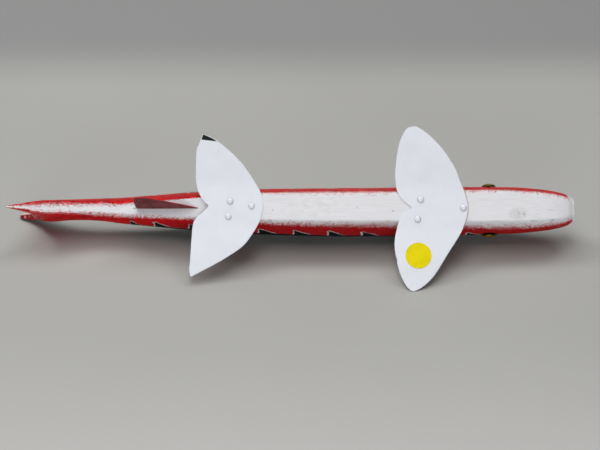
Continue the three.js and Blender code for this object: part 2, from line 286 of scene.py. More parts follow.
def body_skin():
    skin = Skin()
    count = round((NOSE_END - NOTCH) / BODY_STEP)
    rings = [skin.add(full_ring(x)) for x in np.linspace(NOTCH, NOSE_END - NOSE_ROUND, count)]
    rings += nose_rings(skin)
    skin.stack(rings)
    skin.cap(rings[-1])
    width = float(breadth(NOTCH, FORK_LOWER[0][1]))
    bend = side_bend(NOTCH)
    crotch = skin.add([(x, bend - y, z) for x, y, z in chain(NOTCH, width, FORK_LOWER[0][1], 0)])
    for upper, fork in ((False, FORK_LOWER), (True, FORK_UPPER)):
        previous = shared_ring(rings[0], crotch, upper)
        for k in range(1, LOBE_STEPS + 1):
            x, z = bezier(fork, k / LOBE_STEPS)
            bulge = min(FORK_EDGE, 0.3 * (NOTCH - x), 0.3 * half_width(x) + 0.1)
            ring = skin.add(lobe_ring(x, z, upper, bulge))
            skin.bridge(previous, ring)
            previous = ring
        skin.cap(previous)
    return skin


def nose_rings(skin):
    """The blunt nose: a rounded rim, then a slightly crowned face."""
    base = np.array(full_ring(NOSE_END - NOSE_ROUND))
    middle = base.mean(axis=0)
    reach = half_width(NOSE_END)
    rings = []
    for angle in np.radians(NOSE_RIM_ANGLES):
        scale = 1 - NOSE_ROUND / reach * (1 - math.cos(angle))
        ring = middle + (base - middle) * scale
        ring[:, 0] = NOSE_END - NOSE_CROWN - NOSE_ROUND * (1 - math.sin(angle)) * 0.8
        rings.append(skin.add(ring))
    face = middle + (base - middle) * (1 - NOSE_ROUND / reach)
    for k in range(1, NOSE_FACE_STEPS):
        share = 1 - k / NOSE_FACE_STEPS
        ring = middle + (face - middle) * share
        ring[:, 0] = NOSE_END - NOSE_CROWN * share**2
        rings.append(skin.add(ring))
    return rings


# ---- mesh helpers ----


def shape_noise(points, scale, seed):
    """Smooth noise from about -1 to 1 at each point, with features of the scale given, in mm."""
    offset = Vector((seed * 17.3, seed * 5.1, seed * 9.7))
    return np.array([noise.noise(Vector(p) / scale + offset) for p in points])


def positions(data):
    found = np.empty(len(data.vertices) * 3)
    data.vertices.foreach_get("co", found)
    return found.reshape(-1, 3)


def normals(data):
    found = np.empty(len(data.vertices) * 3, np.float32)
    data.vertices.foreach_get("normal", found)
    return found.reshape(-1, 3).astype(float)


def face_outward(data):
    work = bmesh.new()
    work.from_mesh(data)
    bmesh.ops.recalc_face_normals(work, faces=work.faces)
    work.to_mesh(data)
    work.free()


def add_value(data, name, values):
    attribute = data.attributes.new(name, "FLOAT", "POINT")
    attribute.data.foreach_set("value", np.asarray(values, np.float32))


def place(data, material, replaced, values=None, drawn=None, sharp=None):
    """Puts a mesh drawn in the fish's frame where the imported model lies, as a piece on it.
    drawn is where its points were before any carving marks, if that isn't where they are."""
    now = positions(data)
    before = now if drawn is None else drawn
    attribute = data.attributes.new("fish", "FLOAT_VECTOR", "POINT")
    attribute.data.foreach_set("vector", before.astype(np.float32).ravel())
    for name, value in (values or {}).items():
        add_value(data, name, value)
    data.vertices.foreach_set("co", (ORIGIN + MM * now @ AXES).ravel())
    data.update()
    data.polygons.foreach_set("use_smooth", np.ones(len(data.polygons), bool))
    if sharp is not None:
        data.set_sharp_from_angle(angle=math.radians(sharp))
    data.materials.append(material)
    piece = bpy.data.objects.new(data.name, data)
    link(piece)
    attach(piece, BODY)
    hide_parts(*replaced)
    return piece


def cut(data, tools):
    """The mesh with the tools' meshes taken out of it."""
    target = bpy.data.objects.new("cut_target", data)
    link(target)
    cutters = []
    for tool in tools:
        cutter = bpy.data.objects.new("cutter", tool)
        link(cutter)
        cutters.append(cutter)
        modifier = target.modifiers.new("cut", "BOOLEAN")
        modifier.operation = "DIFFERENCE"
        modifier.solver = "EXACT"
        modifier.object = cutter
    bpy.context.view_layer.update()
    evaluated = target.evaluated_get(bpy.context.evaluated_depsgraph_get())
    result = bpy.data.meshes.new_from_object(evaluated)
    result.name = data.name
    for o in [target, *cutters]:
        bpy.data.objects.remove(o)
    return result


def prism(outline, thickness):
    """A flat outline of (x, z) points, given thickness across the fish."""
    skin = Skin()
    near = skin.add([(x, -thickness / 2, z) for x, z in outline])
    far = skin.add([(x, thickness / 2, z) for x, z in outline])
    skin.bridge(near, far)
    skin.faces += [tuple(reversed(near)), tuple(far)]
    data = skin.mesh("prism")
    return data


def turned(outline, segments):
    """A skin turned about the Z axis from (radius, z) points that start and end on it."""
    skin = Skin()
    rings = []
    for r, z in outline[1:-1]:
        angles = [2 * math.pi * k / segments for k in range(segments)]
        rings.append(skin.add([(r * math.cos(a), r * math.sin(a), z) for a in angles]))
    skin.stack(rings)
    for ring, (_, z) in ((rings[0], outline[0]), (rings[-1], outline[-1])):
        (tip,) = skin.add([(0, 0, z)])
        for i in range(segments):
            skin.faces.append((ring[i], ring[(i + 1) % segments], tip))
    return skin


# ---- sheet metal fins ----

GAP = 0.3  # between pieces that touch
SHEET = 0.5  # the metal's thickness
BEND_FROM = 13  # from the fin's middle line to its bend
BEND_LENGTH = 6
WAVE = 0.45  # how far the sheet wanders beyond the bend
WAVE_LENGTHS = (26, 22)
WAVE_FREE_AFTER = 20  # beyond the bend, where the wave is whole
DENT = 0.16  # how deep the sheet is pressed in round a nail
DENT_RADIUS = 3
CUT_WANDER = 0.22  # how far the snips wandered
NICK = 0.9  # the depth and width of the nick in a rear edge
RIBS = 151
CHORD_STEPS = 36
RIM_STEPS = 6

FRONT_FIN = {
    "name": "front_fin",
    "point": 131,
    "bend": (4, 6.5),
    "leading": [
        (-40.5, 62.4), (-34.6, 59.2), (-26.2, 51.2), (-15.2, 34), (-7, 20.9), (-2.6, 11.5),
        (-1, 6), (-0.5, 1), (-0.9, -4), (-2.6, -10.5), (-6.2, -19), (-10.7, -30.1),
        (-18, -41.2), (-28.2, -52.3), (-37.2, -58.4), (-39.5, -59.1),
    ],
    "trailing": [
        (-42.6, 62.4), (-46.8, 57.9), (-51.7, 46.8), (-54.4, 32), (-54, 22), (-50.3, 7.6),
        (-46, 3), (-42, 0.8), (-46.2, -3), (-50.1, -6.9), (-53, -13.5), (-53.7, -25),
        (-52.6, -37.5), (-50.1, -48.6), (-45.6, -57), (-41.6, -58.9),
    ],
    "nails": [(-35.2, -5.4), (-37.5, 9.1), (-4.1, 0.8)],
    "nick": (-53.2, 38.8),
}
REAR_FIN = {
    "name": "rear_fin",
    "point": -19.5,
    "bend": (3, 6),
    "leading": [
        (-51.7, 51.4), (-36.7, 43.4), (-26.6, 37.6), (-14, 28.6), (-6.3, 18), (-2.4, 10.5),
        (0.1, 1.5), (-0.6, -7), (-4.8, -16.5), (-17, -33.8), (-33.7, -48.6), (-43.4, -53.4),
    ],
    "trailing": [
        (-52.7, 51.1), (-53.6, 46.5), (-53, 39.9), (-51.9, 22), (-51.2, 13.6), (-48.6, 8.1),
        (-40.2, 0), (-44.3, -5.4), (-48.8, -16.5), (-48.9, -39.7), (-46.9, -46.2),
        (-44.4, -53.6),
    ],
    "nails": [(-24.1, -4.2), (-25.3, 7.2), (-8.3, -0.6)],
    "nick": None,
}


def spline(points, t):
    """A point on a uniform Catmull-Rom curve through the points, t from 0 to 1."""
    at = t * (len(points) - 1)
    i = min(int(at), len(points) - 2)
    w = at - i
    numbers = (max(i - 1, 0), i, i + 1, min(i + 2, len(points) - 1))
    p0, p1, p2, p3 = (np.array(points[n], float) for n in numbers)
    v0, v1 = (p2 - p0) / 2, (p3 - p1) / 2
    cubic = (2 * p1 - 2 * p2 + v0 + v1) * w**3
    return cubic + (-3 * p1 + 3 * p2 - 2 * v0 - v1) * w**2 + v0 * w + p1


def wing_point(fin, span, lift):
    """(y, z) of a nailed fin's point: flat on the belly, then bent away beyond BEND_FROM."""
    bend = math.radians(fin["bend"][0 if span > 0 else 1])
    along = min(max(abs(span) - BEND_FROM, 0), BEND_LENGTH)
    angle = bend * along / BEND_LENGTH
    radius = BEND_LENGTH / bend
    straight = max(abs(span) - BEND_FROM - BEND_LENGTH, 0)
    out = min(abs(span), BEND_FROM) + radius * math.sin(angle) + straight * math.cos(angle)
    down = radius * (1 - math.cos(angle)) + straight * math.sin(angle)
    side = 1 if span > 0 else -1
    return side * (out - lift * math.sin(angle)), -down - lift * math.cos(angle)


def wave(fin, x, span):
    """How far a nailed fin's sheet is out of its plane at a point, by uneven handling."""
    free = min(max(abs(span) - BEND_FROM, 0) / WAVE_FREE_AFTER, 1)
    length, width = WAVE_LENGTHS
    return WAVE * free * noise.noise(Vector((x / length, span / width, fin["point"])))


def sheet_skin(ribs, surface, steps):
    """A sheet with round edges over ribs, each a pair of edge points. surface(p, lift) gives
    the place of a flat point at a height through the thickness. Also gives each vertex's
    distance from the nearest long edge."""
    skin = Skin()
    rings = []
    depth = []
    round_edge = SHEET / 2
    for front, rear in ribs:
        chord = rear - front
        length = np.linalg.norm(chord)
        inset = min(round_edge / length, 0.3)
        shares = []
        for k in range(RIM_STEPS + 1):
            angle = math.pi * (0.5 - k / RIM_STEPS)
            shares.append((inset * (1 - math.cos(angle)), round_edge * (1 + math.sin(angle))))
        low = [(t, 0) for t in np.linspace(inset, 1 - inset, steps + 1)[1:-1]]
        far = [(1 - t, SHEET - lift) for t, lift in shares]
        high = [(t, SHEET) for t in np.linspace(1 - inset, inset, steps + 1)[1:-1]]
        loop = shares + low + far + high
        rings.append(skin.add([surface(front + chord * t, lift) for t, lift in loop]))
        depth += [min(t, 1 - t) * length for t, _ in loop]
    skin.tube(rings)
    return skin, depth + [0, 0]


def hand_cut(points, seed, size):
    """How far a snipped edge wanders at each of its points, in mm."""
    flat = [(x, y, 0) for x, y in points]
    return size * (shape_noise(flat, 9, seed) + 0.4 * shape_noise(flat, 2.5, seed + 1))


def nailed_fin(fin, material):
    shares = np.linspace(0, 1, RIBS)
    leading = np.array([spline(fin["leading"], t) for t in shares])
    trailing = np.array([spline(fin["trailing"], t) for t in shares])
    chord = trailing - leading
    unit = chord / np.linalg.norm(chord, axis=1)[:, None]
    taper = np.sin(np.pi * shares)[:, None] ** 0.3
    leading += unit * taper * hand_cut(leading, 3, CUT_WANDER)[:, None]
    trailing += unit * taper * hand_cut(trailing, 5, CUT_WANDER)[:, None]
    if fin["nick"]:
        near = np.hypot(*(trailing - fin["nick"]).T)
        trailing -= unit * NICK * np.exp(-((near / NICK) ** 2))[:, None]

    def surface(p, lift):
        x, span = p
        away = [((x - nx) ** 2 + (span - ny) ** 2) / DENT_RADIUS**2 for nx, ny in fin["nails"]]
        dent = DENT * sum(math.exp(-a) for a in away)
        y, z = wing_point(fin, span, GAP + lift + wave(fin, x, span) - dent)
        return fin["point"] + x, y, z

    skin, depth = sheet_skin(list(zip(leading, trailing)), surface, CHORD_STEPS)
    data = skin.mesh(fin["name"] + "_sheet")
    return place(data, material, [fin["name"]], {"depth": depth}, sharp=50)


NAIL_HEAD = 2.25  # its radius
NAIL_TOP = 2 * GAP + SHEET + 1  # the dome's height over the belly
NAIL_OUTLINE = [
    (0, 11), (0.45, 9.6), (0.7, 8.4), (0.72, 0.2), (2.1, -0.6), (2.6, -0.74), (2.42, -0.82),
    (2.28, -0.95), (2.2, -1.15), (2.1, -1.4), (1.9, -1.65), (1.55, -1.87), (1.1, -2.02),
    (0.6, -2.08), (0, -NAIL_TOP),
]


def nail(fin, number, material):
    """A small domed nail, driven by hand and painted over, so no two are quite alike."""
    x, span = fin["nails"][number]
    data = turned(NAIL_OUTLINE, 36).mesh(f"{fin['name']}_nail_{number + 1}_painted")
    points = positions(data)
    seed = fin["point"] + 7 * number
    size = 1 + 0.05 * noise.noise(Vector((seed, 2, 0)))
    flattened = 1 - 0.08 * abs(noise.noise(Vector((seed, 0, 3))))
    head = points[:, 2] < 0
    points[head, 0] *= size
    points[head, 1] *= size * flattened
    tilt = 0.05 * noise.noise(Vector((0, seed, 5)))
    points[head, 2] += tilt * points[head, 0]
    points += normals(data) * (0.06 * shape_noise(points, 1.4, seed))[:, None]
    points += (fin["point"] + x, span, 0)
    data.vertices.foreach_set("co", points.ravel())
    away = np.hypot(points[:, 0] - fin["point"] - x, points[:, 1] - span)
    return place(data, material, [f"{fin['name']}_nail_{number + 1}"],
                 {"away": away / NAIL_HEAD}, sharp=60)


KERF = SHEET + 2 * GAP  # the width of the saw cut in the back
ANAL_KERF = 0.8
KERF_DEPTH = 8
DORSAL_REAR, DORSAL_FRONT, DORSAL_TIP = -35, 34, 31
ANAL_REAR, ANAL_FRONT = (-113, -0.95), (-67, 0.2)  # (x, y) of its foot's two ends
ANAL_LEAN = math.radians(14)
ANAL_OVERRUN = 3  # how far the saw ran on behind the fin


def anal_seat():
    """The foot's rear end and length, and the axes of a fin drawn with X along its foot and
    -Z out of the belly, leaning to the fish's right."""
    rear, front = (np.array([x, y, float(belly_height(x))]) for x, y in (ANAL_REAR, ANAL_FRONT))
    length = np.linalg.norm(front - rear)
    along = (front - rear) / length
    across = np.cross((0, math.sin(ANAL_LEAN), math.cos(ANAL_LEAN)), along)
    across /= np.linalg.norm(across)
    return rear, length, np.array([along, across, np.cross(along, across)])


def on_anal_seat(points):
    rear, _, axes = anal_seat()
    return rear + np.asarray(points, float) @ axes


def smooth_run(curves, count):
    """Points along a chain of quadratic curves, the same number on each."""
    run = [bezier(c, t) for c in curves for t in np.linspace(0, 1, count, endpoint=False)]
    return run + [bezier(curves[-1], 1)]


def upright_fin(name, edge, base, material, replaced, leaning, seed):
    """A sheet fin that stands in a saw cut. edge is its free outline from rear to front, and
    base gives the foot under each of its points, in the wood."""
    edge = np.array(edge)
    foot = np.array([base(x) for x, _ in edge])
    away = edge - foot
    away /= np.linalg.norm(away, axis=1)[:, None]
    edge = edge + away * hand_cut(edge, seed, 0.2)[:, None]

    def surface(p, lift):
        x, z = p
        bow = 0.25 * noise.noise(Vector((x / 14, seed, z / 14)))
        return x, lift - SHEET / 2 + bow, z

    skin, depth = sheet_skin(list(zip(edge, foot)), surface, 18)
    if leaning:
        skin.points = [tuple(p) for p in on_anal_seat(skin.points)]
    data = skin.mesh(name)
    return place(data, material, [replaced], {"depth": depth}, sharp=50)


def anal_fin(material):
    length = anal_seat()[1]
    outline = [
        [(GAP, 0), (-0.8, -2), (0.2, -6.5)],
        [(0.2, -6.5), (1.2, -12), (2.1, -16.2)],
        [(2.1, -16.2), (3, -20.3), (7.5, -20)],
        [(7.5, -20), (11, -19.8), (14.6, -18.6)],
        [(14.6, -18.6), (31.4, -10.5), (length - GAP, 0)],
    ]

    def base(x):
        return min(max(x, 2), length - 2), KERF_DEPTH - 2

    edge = smooth_run(outline, 24)
    return upright_fin("anal_fin_sheet", edge, base, material, "anal_fin", True, 11)


def dorsal_fin(material):
    seat = BACK - KERF_DEPTH + GAP
    outline = [
        [(DORSAL_REAR + GAP, BACK), (DORSAL_REAR - 2, BACK + 2), (DORSAL_REAR - 4, BACK + 5)],
        [(DORSAL_REAR - 4, BACK + 5), (-5, REACH - 3.5), (DORSAL_TIP, REACH)],
        [(DORSAL_TIP, REACH), (DORSAL_FRONT, REACH - 3), (DORSAL_FRONT - GAP, BACK)],
    ]

    def base(x):
        return min(max(x, DORSAL_REAR + 1), DORSAL_FRONT - 1), seat

    edge = smooth_run(outline, 36)
    return upright_fin("dorsal_fin_sheet", edge, base, material, "dorsal_fin", False, 23)


def kerf_tools():
    back = [(DORSAL_REAR, BACK - KERF_DEPTH), (DORSAL_FRONT, BACK - KERF_DEPTH),
            (DORSAL_FRONT, BACK + 5), (DORSAL_REAR, BACK + 5)]
    length = anal_seat()[1]
    belly = [(-ANAL_OVERRUN, -20), (length, -20), (length, KERF_DEPTH), (0, KERF_DEPTH),
             (-ANAL_OVERRUN, 1)]
    leaning = prism(belly, ANAL_KERF)
    leaning.vertices.foreach_set("co", on_anal_seat(positions(leaning)).ravel())
    return [prism(back, KERF), leaning]


def spread_over(points):
    """How far round the body each point is from the middle of the belly, as a share of the
    belly's flat half width: 1 at its edge. Positive to the fish's left."""
    x, y, z = points.T
    y = y - side_bend(x)
    low, flat = belly_height(x), flat_half_width(x)
    out = np.abs(y)
    corner = flat + np.hypot(out - flat, z - low)
    return np.sign(y) * np.where(z < low + 0.05, out, np.maximum(corner, flat)) / flat


# Where the red starts and where it is solid on each side, as shares of the flat half width
red_starts = {
    "right": profile([
        (-200, -0.2), (-168, -0.1), (-139, 0.1), (-81, 0.75), (22, 0.93), (154, 0.93),
    ]),
    "left": profile([(-200, 0.4), (-168, 0.5), (-139, 0.8), (-81, 1.0), (22, 1.1), (154, 1.3)]),
}
red_solid = {
    "right": profile([(-200, 1.1), (-168, 1.1), (-139, 1.4), (-81, 1.05), (22, 2.1), (154, 1.8)]),
    "left": profile([(-200, 1.5), (-168, 1.7), (-139, 2.7), (-81, 1.8), (22, 2.2), (154, 2.5)]),
}


def red_share(points):
    """0 where the belly's white is clean, 1 where the flank's red is solid."""
    spread = spread_over(points)
    x = np.clip(points[:, 0], -200, 154)
    share = {}
    for side, sign in (("right", -1), ("left", 1)):
        start, solid = red_starts[side](x), red_solid[side](x)
        share[side] = (sign * spread - start) / (solid - start)
    return np.clip(np.maximum(share["right"], share["left"]), -0.5, 1.5)


FORK_INSIDE, CUT_INSIDE = 0.35, 0.12  # how far under the outline the fork and cuts begin
CUT_REACH = 2.5  # the cuts lie this near to the fish's middle plane


def inside_of(points):
    """1 where a point lies inside the carved outline, on the fork's edge or in a saw cut."""
    x, y, z = points.T
    out = np.abs(y - side_bend(x))
    depth = breadth(x, z) - out
    in_fork = (x < NOTCH + 1) & (depth > FORK_INSIDE)
    in_cut = (out < CUT_REACH) & (depth > CUT_INSIDE) & (x < FLAT_TO)
    hidden = (in_fork | in_cut) & (z > belly_height(x) + 0.2)
    return hidden.astype(float)


def body(material):
    data = body_skin().mesh("body_wood")
    data = cut(data, kerf_tools())
    drawn = positions(data)
    ridge = drawn[:, 2] / back_height(drawn[:, 0])
    values = {"share": red_share(drawn), "inside": inside_of(drawn), "ridge": ridge}
    marks = 0.16 * shape_noise(drawn * (0.5, 1, 1), 9, 1)
    marks += 0.05 * shape_noise(drawn * (0.4, 1, 1), 2.6, 2)
    flat = (np.abs(spread_over(drawn)) < 0.95) & (drawn[:, 0] > FLAT_FROM - 60)
    marks[flat] *= 0.35
    moved = drawn + normals(data) * (marks * (1 - values["inside"]))[:, None]
    data.vertices.foreach_set("co", moved.ravel())
    return place(data, material, ["body"], values, drawn, sharp=48)


# ---- small fittings ----

POCKET_FROM, POCKET_TO, POCKET_HALF = -12, 49, 9  # its ends and half its width
FILLER_DEPTH = 3.5
ROUND_STEPS = 96  # round the filler and the label


def filler(material):
    """The filler over the ballast: a slab whose face is a hair proud of the belly in its
    middle and dips under it at its rim, so its outline is as uneven as smeared putty."""
    half_length = (POCKET_TO - POCKET_FROM) / 2
    middle = (POCKET_TO + POCKET_FROM) / 2
    around = [2 * math.pi * k / ROUND_STEPS for k in range(ROUND_STEPS)]
    skin = Skin()
    rings = []
    levels = [(1, FILLER_DEPTH), (1, 0.25), *[(s, None) for s in np.linspace(1, 0.06, 22)]]
    for share, z in levels:
        ring = []
        for a in around:
            c, s = math.cos(a), math.sin(a)
            x = half_length * share * math.copysign(abs(c) ** 0.35, c)
            y = POCKET_HALF * share * math.copysign(abs(s) ** 0.5, s)
            uneven = noise.noise(Vector((x / 8, y / 5, 4)))
            face = 0.16 * share**6 - 0.03 + 0.025 * uneven
            ring.append((middle + x, y + 0.3, face if z is None else z))
        rings.append(skin.add(ring))
    skin.tube(rings)
    data = skin.mesh("ballast_filler_putty")
    return place(data, material, ["ballast_filler"], sharp=40)


EYE_X, EYE_Z = 148.5, 24
EYE_HEAD, EYE_DOME = 5.15, 2.3  # the tack head's radius and height


def eye(name, side, material):
    """A domed brass tack with its rim rolled under and a shank in the wood."""
    outline = [(0, -10.8), (0.5, -9.6), (0.8, -8.6), (0.8, -0.1), (3.9, 0.15), (4.75, 0.02)]
    outline += [(5.02, 0.03), (EYE_HEAD, 0.16), (5.14, 0.3)]
    steps = 16
    for k in range(1, steps):
        angle = math.pi / 2 * k / steps
        outline.append((5.12 * math.cos(angle), 0.3 + (EYE_DOME - 0.3) * math.sin(angle) ** 0.95))
    outline.append((0, EYE_DOME))
    data = turned(outline, 64).mesh(name + "_tack")
    points = positions(data)
    points += normals(data) * (0.035 * shape_noise(points, 2.2, 31 + side))[:, None]
    away = np.hypot(points[:, 0], points[:, 1]) / EYE_HEAD
    y = side_bend(EYE_X) + side * (half_width(EYE_X) + GAP + points[:, 2])
    turned_out = np.array([EYE_X + points[:, 0] * side, y, EYE_Z + points[:, 1]]).T
    data.vertices.foreach_set("co", turned_out.ravel())
    face_outward(data)
    return place(data, material, [name], {"away": away}, sharp=60)


TIE_X = 62
TIE_RING, TIE_WIRE = 3.4, 0.9  # radii of the ring and of its wire
TIE_DEPTH = 13


def sweep(path, radii, segments):
    """A round tube along a path in the X-Z plane, its ends closed."""
    path = np.array(path, float)
    along = np.gradient(path, axis=0)
    along /= np.linalg.norm(along, axis=1)[:, None]
    across = np.array([0.0, 1.0, 0.0])
    skin = Skin()
    rings = []
    for p, forward, r in zip(path, along, radii):
        up = np.cross(forward, across)
        angles = [2 * math.pi * k / segments for k in range(segments)]
        ring = [p + r * (math.cos(a) * across + math.sin(a) * up) for a in angles]
        rings.append(skin.add(ring))
    skin.tube(rings)
    return skin


def line_tie(material):
    """A screw eye: a threaded shank in the back, then a ring bent from the same wire."""
    foot = float(back_height(TIE_X)) + 0.5
    centre = foot + TIE_RING + TIE_WIRE
    shank = [(TIE_X, 0, z) for z in np.linspace(foot - TIE_DEPTH, foot - 0.6, 90)]
    start, end = math.radians(-90), math.radians(238)
    turn = np.linspace(start, end, 60)
    ring = [(TIE_X + TIE_RING * math.cos(a), 0.15 * k / 60, centre + TIE_RING * math.sin(a))
            for k, a in enumerate(turn)]
    path = shank + ring
    radii = []
    for _, _, z in shank:
        deep = foot - z
        thread = 0.12 * math.sin(2 * math.pi * deep / 1.1) if deep > 2 else 0
        radii.append(min(TIE_WIRE, 0.35 + 0.35 * (TIE_DEPTH - deep)) + thread)
    radii += [TIE_WIRE] * (len(ring) - 2) + [TIE_WIRE * 0.85, TIE_WIRE * 0.5]
    data = sweep(path, radii, 20).mesh("line_tie_wire")
    return place(data, material, ["line_tie"], sharp=70)


STICKER_X, STICKER_SPAN = 93.7, 36.2  # its middle, on the laid-flat fin
STICKER_RADIUS, STICKER_THICKNESS = 9.5, 0.15


def sticker(material):
    """A round paper label on the left half of the front fin, following the sheet."""
    skin = Skin()
    rings = []
    rows = [(s, 0) for s in np.linspace(0.08, 1, 16)]
    rows += [(1.0, 0.5)] + [(s, 1) for s in np.linspace(1, 0.08, 16)]
    for share, level in rows:
        ring = []
        for k in range(ROUND_STEPS):
            a = 2 * math.pi * k / ROUND_STEPS
            x = STICKER_X - FRONT_FIN["point"] + STICKER_RADIUS * share * math.cos(a)
            span = STICKER_SPAN + STICKER_RADIUS * share * math.sin(a)
            curl = 0.05 * max(0, share - 0.85) / 0.15 * (1 + math.cos(a - 2))
            lift = GAP + SHEET + 0.02 + STICKER_THICKNESS * level + wave(FRONT_FIN, x, span) + curl
            y, z = wing_point(FRONT_FIN, span, lift)
            ring.append((FRONT_FIN["point"] + x, y, z))
        rings.append(skin.add(ring))
    skin.tube(rings)
    data = skin.mesh("sticker_paper_dot")
    return place(data, material, ["sticker"], sharp=40)


# ---- material helpers ----


def linear(r, g, b):
    """A colour from 0 to 255 on the screen, in the values that the shader takes."""
    def channel(v):
        v /= 255
        return v / 12.92 if v <= 0.04045 else ((v + 0.055) / 1.055) ** 2.4

    return channel(r), channel(g), channel(b), 1


class Paint:
    """A material under construction: each method adds a node and gives its output."""

    def __init__(self, name, metallic=0.0, roughness=0.5, specular=0.5):
        self.material = bpy.data.materials.new(name)
        self.material.use_nodes = True
        self.nodes = self.material.node_tree.nodes
        self.links = self.material.node_tree.links
        self.shader = self.nodes["Principled BSDF"]
        self.shader.inputs["Metallic"].default_value = metallic
        self.shader.inputs["Roughness"].default_value = roughness
        self.shader.inputs["Specular IOR Level"].default_value = specular

    def put(self, socket, value):
        if isinstance(value, bpy.types.NodeSocket):
            self.links.new(value, socket)
        else:
            socket.default_value = value

    def set(self, name, value):
        self.put(self.shader.inputs[name], value)

    def node(self, kind, inputs):
        node = self.nodes.new("ShaderNode" + kind)
        for name, value in inputs.items():
            self.put(node.inputs[name], value)
        return node

    def attribute(self, name, output="Fac"):
        node = self.nodes.new("ShaderNodeAttribute")
        node.attribute_name = name
        return node.outputs[output]

    def position(self):
        return self.nodes.new("ShaderNodeNewGeometry").outputs["Position"]

    def math(self, operation, a, b=0.0, c=0.0):
        node = self.nodes.new("ShaderNodeMath")
        node.operation = operation
        for socket, value in zip(node.inputs, (a, b, c)):
            self.put(socket, value)
        return node.outputs[0]

    def split(self, vector):
        return tuple(self.node("SeparateXYZ", {"Vector": vector}).outputs)

    def stretch(self, vector, scale):
        return self.node("Mapping", {"Vector": vector, "Scale": scale}).outputs[0]

    def noise(self, vector, size, detail=2.0, roughness=0.5):
        """Noise around 0.5 whose blobs are about the size given, in the unit of the vector."""
        look = {"Vector": vector, "Scale": 1 / size, "Detail": detail, "Roughness": roughness}
        return self.node("TexNoise", look).outputs["Fac"]

    def ramp(self, value, low, high, to_low=0.0, to_high=1.0, smooth=True):
        """The value moved from one range to another, clamped."""
        ranges = {"From Min": low, "From Max": high, "To Min": to_low, "To Max": to_high}
        node = self.node("MapRange", {"Value": value, **ranges})
        node.interpolation_type = "SMOOTHSTEP" if smooth else "LINEAR"
        return node.outputs[0]

    def mix(self, factor, a, b):
        node = self.nodes.new("ShaderNodeMix")
        node.data_type = "RGBA"
        self.put(node.inputs["Factor"], factor)
        self.put(node.inputs[6], a)
        self.put(node.inputs[7], b)
        return node.outputs[2]

    def blend(self, factor, a, b):
        """A number between a and b."""
        node = self.nodes.new("ShaderNodeMix")
        self.put(node.inputs["Factor"], factor)
        self.put(node.inputs[2], a)
        self.put(node.inputs[3], b)
        return node.outputs[0]

    def add(self, a, b):
        return self.math("ADD", a, b)

    def minus(self, a, b):
        return self.math("SUBTRACT", a, b)

    def scaled(self, value, factor, more):
        """value times factor, plus more."""
        return self.math("MULTIPLY_ADD", value, factor, more)

    def either(self, a, b):
        return self.math("MAXIMUM", a, b)

    def both(self, a, b):
        return self.math("MULTIPLY", a, b)

    def spot(self, x, y, at, size):
        """1 at a place on the belly, falling to 0 at its size, (length, width) in mm."""
        dx = self.math("DIVIDE", self.minus(x, at[0]), size[0])
        dy = self.math("DIVIDE", self.minus(y, at[1]), size[1])
        square = self.add(self.both(dx, dx), self.both(dy, dy))
        return self.ramp(square, 0.0, 1.0, 1.0, 0.0)

    def done(self, colour, roughness, height, distance, strength):
        """The material with this colour and roughness, and relief of this distance in mm."""
        self.set("Base Color", colour)
        self.set("Roughness", roughness)
        relief = {"Height": height, "Distance": distance * MM, "Strength": strength}
        self.set("Normal", self.node("Bump", relief).outputs[0])
        return self.material


# ---- the materials ----

RED = linear(214, 10, 18)
DARK_RED = linear(128, 4, 10)
PINK = linear(214, 150, 150)
WHITE = linear(240, 240, 244)
GREY_WHITE = linear(208, 206, 210)
BLACK = linear(20, 20, 22)
SILVER = linear(196, 190, 186)
FIN_WHITE = linear(240, 243, 251)

# The black back's teeth. Each tuple is two places along the fish and a value at each.
TOOTH_PERIOD = 25.75
TOOTH_START = 3.0  # the steep edge of one tooth
TOOTH_LOW = 13.6  # the height of the teeth's tips over the belly, on the left flank
TOOTH_TAIL = (-118, -60, 7.8, 0)  # how much higher they are towards the tail
TOOTH_HEAD = (-10, 131, 0, 4.2)  # and towards the head
TOOTH_RIGHT = 3.2  # how much higher they are on the right flank
TOOTH_RISE, TOOTH_DEPTH = 18.0, 8.5  # the slope's rise over a whole period, and where it stops
FIRST_TOOTH = (-119, -100, -6.75, 0)  # how far the first tooth is out of step
TEETH_FROM, TEETH_TO = -119, 153


def saw_line(p, x, y):
    """(height, on_slope): how high the black back's lower edge is at x, and 1 where that is a
    tooth's slope and not the level edge between two teeth."""
    in_step = p.add(x, p.ramp(x, *FIRST_TOOTH, smooth=False))
    turns = p.math("DIVIDE", p.minus(in_step, TOOTH_START), TOOTH_PERIOD)
    share = p.math("FRACT", p.add(turns, 20.0))
    rise = p.both(share, TOOTH_RISE)
    low = p.add(p.ramp(x, *TOOTH_TAIL, smooth=False), p.ramp(x, *TOOTH_HEAD, smooth=False))
    low = p.add(low, p.ramp(y, -1, 1, TOOTH_LOW + TOOTH_RIGHT, TOOTH_LOW))
    height = p.add(low, p.math("MINIMUM", rise, TOOTH_DEPTH))
    return height, p.math("LESS_THAN", rise, TOOTH_DEPTH)


